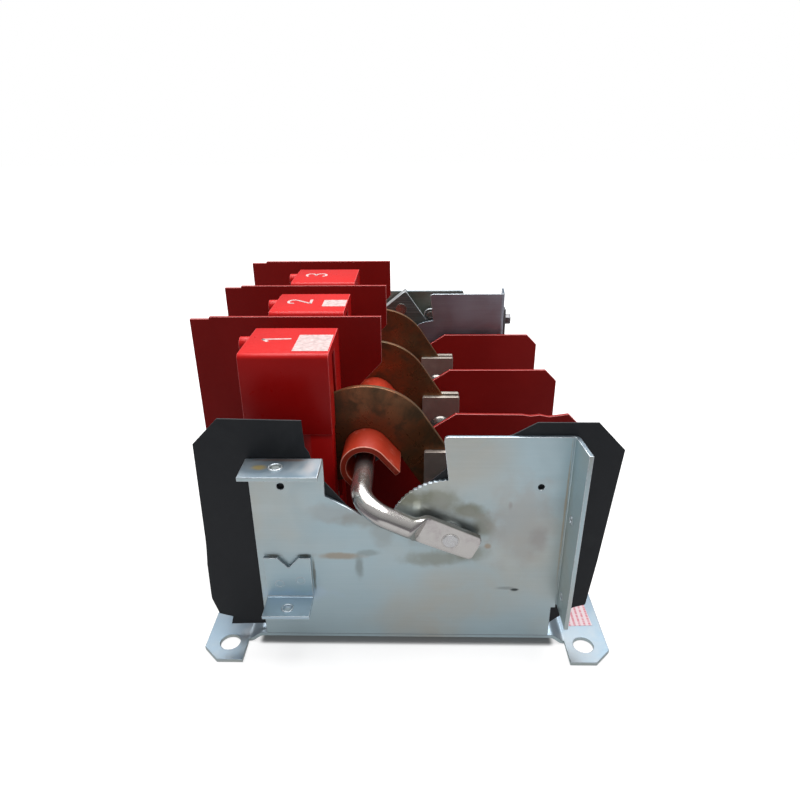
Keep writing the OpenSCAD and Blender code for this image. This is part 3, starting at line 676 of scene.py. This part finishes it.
def bail_rod():
    """The rod from its flattened end, up the arm, round the bend and through the channel."""
    low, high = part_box("bail_rod")
    along = ARM.normalized()
    across = Vector((along.z, 0, -along.x))
    if across.z > 0:
        across = -across                               # down from the arm
    axis = Vector((PIVOT.x, low.y + ROD_R, PIVOT.z))
    eye_front = ROD_R - EYE_THICK
    turns = [2 * math.pi * (k + 0.5) / ROD_SIDES for k in range(ROD_SIDES)]

    def section(u, v0, v1, y0, y1, roundness):
        """A ring at u up the arm, from nearly a box v0..v1 by y0..y1 to an ellipse at roundness 1."""
        middle = axis + u * along + (v0 + v1) / 2 * across + (y0 + y1) / 2 * Y_AXIS
        half_v, half_y = (v1 - v0) / 2, (y1 - y0) / 2
        power = 2 + 14 * (1 - roundness) ** 3
        points = []
        for a in turns:
            c, s = math.cos(a), math.sin(a)
            r = (abs(c) ** power + abs(s) ** power) ** (-1 / power)
            points.append(middle + r * c * half_v * across + r * s * half_y * Y_AXIS)
        return points

    rings = [section(u * MM, v0 * MM, v1 * MM, eye_front, ROD_R, 0) for u, v0, v1 in EYE_ROWS]
    for k in range(1, SWELL_STEPS + 1):
        t = k / SWELL_STEPS
        swell = smooth_step(t)
        half = EYE_HALF + (ROD_R - EYE_HALF) * swell
        front = eye_front + (-ROD_R - eye_front) * swell ** 0.6
        rings.append(section(EYE_END + SWELL * t, -half, half, front, ROD_R, min(1, 0.25 + swell)))
    rings.append(section(ARM.length - ROD_BEND - ROD_R, -ROD_R, ROD_R, -ROD_R, ROD_R, 1))
    start = axis + (ARM.length - ROD_BEND) * along
    for k in range(BEND_STEPS + 1):
        a = math.radians(90 * k / BEND_STEPS)
        middle = start + ROD_BEND * math.sin(a) * along + ROD_BEND * (1 - math.cos(a)) * Y_AXIS
        out = math.cos(a) * Y_AXIS - math.sin(a) * along
        rings.append([middle + ROD_R * (math.cos(t) * across + math.sin(t) * out) for t in turns])
    last = rings[-1]
    length = high.y - last[0].y
    rings.append([p + (length - ROD_END) * Y_AXIS for p in last])
    middle = sum(last, Vector()) / ROD_SIDES
    rings.append([middle + length * Y_AXIS + 0.93 * (p - middle) for p in last])
    bm = bmesh.new()
    lofted(bm, rings)
    eye = Vector((PIVOT.x, axis.y + eye_front, PIVOT.z))
    # Painted shade: a thin ring in dark steel stands for the shaded groove round the pin.
    collar(bm, eye, -Y_AXIS, *EYE_SHADE_RING, 1)
    finished(bm, "bail_rod", [ROD, DARK], "crossbar", smooth=50)


# ---- Marks ----

# The painted pole numbers, as strokes of places in mm
STROKES = {
    1: [[(-11, 0.5), (11, -0.5)],
        [(11, -0.5), (6.5, -5.5)]],
    2: [[(5.5, -6), (9.5, -5), (11, -0.5), (9.5, 4.5), (6, 6), (2, 4), (-4, -1), (-11, -6.5)],
        [(-11, -6.5), (-10.5, 6.5)]],
    3: [[(9, -6), (11, -1), (9.5, 4.5), (5.5, 6), (1.5, 3), (0.5, -1.5)],
        [(0.5, -1), (-1, 4.5), (-6, 6.5), (-10, 3.5), (-11, -2), (-8, -6.5)]],
}
STROKE_HALF = 1.25 * MM       # half the width of a stroke
PAINT = 0.12 * MM             # thickness of the paint
PAPER = 0.15 * MM             # thickness of a label
# Labels on the first two chutes in mm: left and right ends, then front and back from the chute's middle
LABELS = {1: (-86, -58.5, -25.6, 13.4), 2: (-80, -58, -14, 8.5)}
NUMBER_AT = Vector((-45.6, 3, -0.02)) * MM   # a number's middle, from the middle of the top's right edge
# The corners of the pan's sticker along X and Y in mm
STICKER_CORNERS = ((135.5, -182), (156.5, -181), (155, -152), (134.5, -153))


def brushed(bm, points, half):
    """A painted stroke: a thin ribbon of uneven width along points, narrowing past its two ends."""
    count = len(points)
    sides = []
    for k, p in enumerate(points):
        ahead = points[min(k + 1, count - 1)] - points[max(k - 1, 0)]
        normal = Vector((-ahead.y, ahead.x, 0)).normalized()
        width = half * (1 + 0.16 * math.sin(2.3 * k + 3 * count))
        sides.append((p - width * normal, p + width * normal))
    top = Vector((0, 0, PAINT))
    for here, there in zip(sides, sides[1:]):
        extruded(bm, [here[0], here[1], there[1], there[0]], top)
    for end, beside in ((0, 1), (-1, -2)):
        tip = (points[end] - points[beside]).normalized() * half * 0.7
        a, b = sides[end]
        extruded(bm, [a, b, b * 0.8 + a * 0.2 + tip, a * 0.8 + b * 0.2 + tip], top)


def smooth_path(points, steps=6):
    """Points of a smooth curve through these points."""
    if len(points) < 3:
        return points
    ends = [2 * points[0] - points[1], *points, 2 * points[-1] - points[-2]]
    path = []
    for a, b, c, d in zip(ends, ends[1:], ends[2:], ends[3:]):
        for k in range(steps):
            t = k / steps
            path.append(0.5 * ((2 * b) + (c - a) * t + (2 * a - 5 * b + 4 * c - d) * t * t
                               + (3 * b - a - 3 * c + d) * t ** 3))
    return [*path, points[-1]]


CHUTE_WALL = 4 * MM
CHUTE_CORNER = 4 * MM
CHUTE_LENGTH = 68.8 * MM      # of the box, without its peg
CHUTE_OVER = 1.5 * MM         # the cover's back edge past the CAD box
POLE_FRONT = 4.5 * MM         # from the chute's middle forward to its pole
BLADE_SLOT = 8 * MM           # half the width of the blade's slot
SLOT_TOP = 226 * MM
PEG_R = 6.5 * MM
PEG_BACK = 9 * MM             # from the chute's middle back to its peg


def chute(k):
    """An arc chute: a hollow box with round long edges, the blade's slot and a peg."""
    node = f"arc_chute_{k}"
    low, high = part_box(node)
    x0, x1 = high.x - CHUTE_LENGTH, high.x
    y0, y1 = low.y, high.y + CHUTE_OVER
    z0, z1 = low.z, high.z
    middle_y = (low.y + high.y) / 2
    pole = middle_y - POLE_FRONT
    outline = [(y0, z0), *reversed(arc(y0 + CHUTE_CORNER, z1 - CHUTE_CORNER, CHUTE_CORNER, 90, 180, 5)),
               *reversed(arc(y1 - CHUTE_CORNER, z1 - CHUTE_CORNER, CHUTE_CORNER, 0, 90, 5)), (y1, z0)]
    bm = bmesh.new()
    extruded(bm, [Vector((x0, y, z)) for y, z in outline], Vector((x1 - x0, 0, 0)))
    inside = bmesh.new()
    block(inside, (x0 + CHUTE_WALL, y0 + CHUTE_WALL, z0 - MM),
          (x1 - CHUTE_WALL, y1 - CHUTE_WALL, z1 - CHUTE_WALL))
    bm = cut(bm, inside)
    slot = bmesh.new()
    block(slot, (x1 - CHUTE_WALL - MM, pole - BLADE_SLOT, z0 - MM), (x1 + MM, pole + BLADE_SLOT, SLOT_TOP))
    bm = cut(bm, slot)
    peg = Vector((x0 + MM, middle_y + PEG_BACK, z1 - PEG_R))
    extruded(bm, ring_points(peg, Y_AXIS, Z_AXIS, PEG_R), Vector((low.x - peg.x, 0, 0)))
    for f in bm.faces:
        f.material_index = 0
    made = bevelled(bm, node + "_finish", "frame", [CHUTE, CHUTE_EDGE], width=0.45 * MM, edge_slot=1)
    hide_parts(node)
    chute_marks(k, Vector((high.x, middle_y, z1)))


def chute_marks(k, top):
    """The painted number on a chute, and its label on the first two. top is the top's right edge."""
    marks = bmesh.new()
    for stroke in STROKES[k]:
        path = [top + NUMBER_AT + Vector((-a, b, 0)) * MM for a, b in stroke]
        brushed(marks, smooth_path(path), STROKE_HALF)
    if k in LABELS:
        left, right, front, back = (edge * MM for edge in LABELS[k])
        for f in block(marks, (left, top.y + front, top.z), (right, top.y + back, top.z + PAPER)):
            f.material_index = 1
    marked = placed(f"chute_marks_{k}", mesh_of(marks, f"chute_marks_{k}"), "frame", [WHITE_PAINT, LABEL])


def pan_sticker():
    bm = bmesh.new()
    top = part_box("base_pan")[0].z + SHEET
    extruded(bm, [Vector((x * MM, y * MM, top)) for x, y in STICKER_CORNERS], Vector((0, 0, PAPER)))
    placed("pan_sticker", mesh_of(bm, "pan_sticker"), "frame", [STICKER])


# ---- The black sheet ----

CURL_X = (-113, -137)         # the curl grows from the first of these places to the second, in mm
CURL_Z = (104, 26)
CURL_OUT = Vector((-2.6, -5, 4.2)) * MM      # how far the lower left corner moves
# The corners of the flap at the sheet's lower left, along X and Z in mm
FLAP_CORNERS = ((-144.5, 12), (-141.5, 24), (-92, 26), (-92, 14))
FLAP_Y = -191.5 * MM
FLAP_THICK = 1.2 * MM


def black_sheet():
    """The sheet behind the near plate, with its lower left wing curled towards the viewer."""
    bm = welded("black_sheet")
    cuts = [(x, X_AXIS) for x in range(-152, -112, 4)] + [(z, Z_AXIS) for z in range(18, 106, 4)]
    for at, axis in cuts:
        bmesh.ops.bisect_plane(bm, geom=bm.verts[:] + bm.edges[:] + bm.faces[:], plane_co=at * MM * axis,
                               plane_no=axis)
    for v in bm.verts:
        curl = (smooth_step((CURL_Z[0] * MM - v.co.z) / ((CURL_Z[0] - CURL_Z[1]) * MM))
                * smooth_step((CURL_X[0] * MM - v.co.x) / ((CURL_X[0] - CURL_X[1]) * MM)))
        v.co += Vector((curl * CURL_OUT.x, curl * CURL_OUT.y, curl * curl * CURL_OUT.z))
    extruded(bm, [Vector((x * MM, FLAP_Y, z * MM)) for x, z in FLAP_CORNERS], FLAP_THICK * Y_AXIS)
    finished(bm, "black_sheet", [BLACK], smooth=30)


# ---- The notched bracket ----

NOTCH_HALF = 8 * MM           # half the width of the V notch
NOTCH_DEEP = 9.2 * MM
LEDGE_Z = 46.5 * MM           # under side of the bracket's flange
LEDGE_HOLE = Vector((-90.9 * MM, NEAR_Y - 15.5 * MM, 49.5 * MM))
LEDGE_HOLE_R = 3.2 * MM
LEDGE_LIP = (5.0 * MM, 0.8 * MM)             # outer radius and height of the lip round the hole
DIMPLES = ((-98.2, 62.2), (-81.7, 65.5))     # along X and Z in mm
DIMPLE_LIP = (2.2 * MM, 3.8 * MM, 0.22 * MM) # inner and outer radius and height


def notch_bracket():
    """A leaf with a V notch over a flange bent towards the viewer."""
    node = "notch_bracket"
    low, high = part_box(node)
    top, notch = high.z, (low.x + high.x) / 2 + 0.6 * MM
    front = NEAR_Y - SHEET
    bend_y, bend_z = NEAR_Y - BEND_OUT, LEDGE_Z + BEND_OUT
    leaf = bmesh.new()
    corners = ((low.x, bend_z), (low.x, top), (notch - NOTCH_HALF, top), (notch, top - NOTCH_DEEP),
               (notch + NOTCH_HALF, top), (high.x, top), (high.x, bend_z))
    extruded(leaf, [Vector((x, front, z)) for x, z in corners], SHEET * Y_AXIS)
    profile = (arc(bend_y, bend_z, BEND_OUT, 0, -90) + [(low.y, LEDGE_Z), (low.y, LEDGE_Z + SHEET)]
               + arc(bend_y, bend_z, BEND_IN, -90, 0))
    ledge = bmesh.new()
    extruded(ledge, [Vector((low.x, y, z)) for y, z in profile], Vector((high.x - low.x, 0, 0)))
    ledge = drilled(ledge, [(LEDGE_HOLE, Z_AXIS, LEDGE_HOLE_R)])
    bm = joined(leaf, ledge)
    for x, z in DIMPLES:
        collar(bm, Vector((x * MM, front, z * MM)), -Y_AXIS, *DIMPLE_LIP)
    collar(bm, LEDGE_HOLE, Z_AXIS, LEDGE_HOLE_R, *LEDGE_LIP, 1)
    made = bevelled(bm, node + "_finish", "frame", [STEEL_NEAR, STEEL_EDGE], width=0.3 * MM, edge_slot=1)
    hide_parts(node)


# ---- Pieces ----

def pieces():
    """Every piece that stands for a CAD node, with its materials, and the marks."""
    for k in POLES:
        refined(f"barrier_{k}", [BARRIER, BARRIER_EDGE], face_slot=rim(1), edge_slot=1, width=0.25 * MM)
        chute(k)
        refined(f"contact_support_{k}", [SUPPORT, CHUTE_EDGE], width=0.8 * MM)
        refined(f"hinge_support_{k}", [SUPPORT, CHUTE_EDGE], width=0.8 * MM)
        refined(f"line_contact_{k}", [TINNED, TINNED_EDGE], face_slot=rim(1), width=0.3 * MM)
        refined(f"load_terminal_{k}", [TINNED, TINNED_EDGE], face_slot=rim(1), width=0.3 * MM)
        refined(f"hinge_bolt_{k}", [DOME], width=0.4 * MM)
        refined(f"blade_{k}", [COPPER, COPPER_EDGE], "crossbar", face_slot=rim(1), width=0.4 * MM)
    refined("base_pan", [STEEL, STEEL_EDGE])
    bent_plate(-1, STEEL_NEAR)
    bent_plate(1, STEEL_FAR_SHADED)
    notch_bracket()
    refined("mechanism_plate", [STEEL_MECH_SHADED, STEEL_EDGE])
    black_sheet()
    pan_sticker()
    refined("near_pivot_pin", [BOLT])
    refined("far_pivot_pin", [BOLT])
    refined("mechanism_spacers", [BOLT])
    refined("corner_strap", [DARK])
    refined("corner_bolts", [DARK])
    refined("crossbar_channel", [CHANNEL, CHANNEL_EDGE], "crossbar", width=0.6 * MM, edge_slot=1)
    refined("crossbar_spacers", [DARK], "crossbar")
    refined("drive_lever", [LEVER_SHADED, STEEL_EDGE], "crossbar", edge_slot=1)
    refined("drive_pin", [DOME], "crossbar")
    bail_rod()


# ---- Studio ----

FLOOR_HALF = 6.0
FLOOR_Z = -0.0004
UNDER_X = (0.116, 0.124)      # the shade under the pan fades out between these places
UNDER_Y = (0.197, 0.203)


def studio_floor():
    """A pale floor that glows to the camera, more so farther out, with a shade under the pan."""
    floor_mesh = bpy.data.meshes.new("floor")
    signs = ((-1, -1), (1, -1), (1, 1), (-1, 1))
    floor_mesh.from_pydata([(x * FLOOR_HALF, y * FLOOR_HALF, FLOOR_Z) for x, y in signs], [], [(0, 1, 2, 3)])
    floor = bpy.data.objects.new("floor", floor_mesh)
    bpy.context.scene.collection.objects.link(floor)
    s = Surface("floor_pale", roughness=0.9, specular=0.0)
    path = s.node("ShaderNodeLightPath")
    seen, mirrored = path.outputs["Is Camera Ray"], path.outputs["Is Glossy Ray"]
    s.colour(s.mix(seen, (0.3, 0.3, 0.31, 1), (0.34, 0.34, 0.34, 1)))
    s.shader.inputs["Emission Color"].default_value = (1, 1, 1, 1)
    away = s.node("ShaderNodeVectorMath", {0: s.place}, operation="LENGTH").outputs["Value"]
    x, y, _ = s.node("ShaderNodeSeparateXYZ", {0: s.place}).outputs
    under = s.math("MULTIPLY", s.spread(s.math("ABSOLUTE", x), *UNDER_X, 1, 0),
                   s.spread(s.math("ABSOLUTE", y), *UNDER_Y, 1, 0))
    shown = s.math("MULTIPLY", s.spread(away, 0.4, 1.1, 0.74, 1.0), s.spread(under, 0, 1, 1, 0.04))
    glow = s.math("ADD", s.math("MULTIPLY", seen, shown), s.math("MULTIPLY", mirrored, 0.22))
    s.put(s.shader.inputs["Emission Strength"], glow)
    floor_mesh.materials.append(s.material)


def top_light():
    """One large soft light over the switch, a little behind it."""
    light = bpy.data.lights.new("top_light", "AREA")
    light.shape = "RECTANGLE"
    light.size = light.size_y = 1.6
    light.energy = 52
    lamp = bpy.data.objects.new("top_light", light)
    lamp.location = (0, 0.25, 1.5)
    aim = Vector((0, 0, 0.1))
    lamp.rotation_euler = (aim - lamp.location).to_track_quat("-Z", "Y").to_euler()
    bpy.context.scene.collection.objects.link(lamp)


def surroundings():
    """White to the camera; to everything else a grey that grows paler with height."""
    world = bpy.data.worlds.new("studio")
    bpy.context.scene.world = world
    world.use_nodes = True
    tree = world.node_tree
    background = tree.nodes["Background"]
    path = tree.nodes.new("ShaderNodeLightPath")
    mix = tree.nodes.new("ShaderNodeMix")
    mix.data_type = "RGBA"
    direction = tree.nodes.new("ShaderNodeSeparateXYZ")
    tree.links.new(tree.nodes.new("ShaderNodeTexCoord").outputs["Generated"], direction.inputs[0])
    height = tree.nodes.new("ShaderNodeMapRange")
    height.inputs["From Min"].default_value = 0.0
    height.inputs["From Max"].default_value = 0.7
    tree.links.new(direction.outputs["Z"], height.inputs["Value"])
    sky = tree.nodes.new("ShaderNodeMix")
    sky.data_type = "RGBA"
    sky.inputs[6].default_value = (0.2, 0.2, 0.21, 1)
    sky.inputs[7].default_value = (0.5, 0.5, 0.51, 1)
    tree.links.new(height.outputs[0], sky.inputs[0])
    tree.links.new(sky.outputs[2], mix.inputs[6])
    mix.inputs[7].default_value = (1, 1, 1, 1)
    tree.links.new(path.outputs["Is Camera Ray"], mix.inputs[0])
    tree.links.new(mix.outputs[2], background.inputs["Color"])
    background.inputs["Strength"].default_value = 1.0
    bpy.context.scene.view_settings.view_transform = "Standard"


def camera():
    """The photograph's view: its place, pitch, turn and roll, and its focal length on a 36 mm sensor."""
    place = Vector((6.44, -586.52, 392.01)) * MM
    pitch, turn, roll = (math.radians(a) for a in (24.085, -1.394, -0.537))
    forward = Vector((math.sin(turn) * math.cos(pitch), math.cos(turn) * math.cos(pitch), -math.sin(pitch)))
    right = forward.cross(Z_AXIS).normalized()
    up = right.cross(forward)
    rolled_right = math.cos(roll) * right + math.sin(roll) * up
    rolled_up = math.cos(roll) * up - math.sin(roll) * right
    lens = bpy.data.cameras.new("camera")
    lens.sensor_width = 36
    lens.lens = 28.115
    lens.clip_start = 0.01
    eye = bpy.data.objects.new("camera", lens)
    turned = Matrix((rolled_right, rolled_up, -forward)).transposed().to_4x4()
    eye.matrix_world = Matrix.Translation(place) @ turned
    bpy.context.scene.collection.objects.link(eye)
    bpy.context.scene.camera = eye


pieces()
studio_floor()
top_light()
surroundings()
camera()
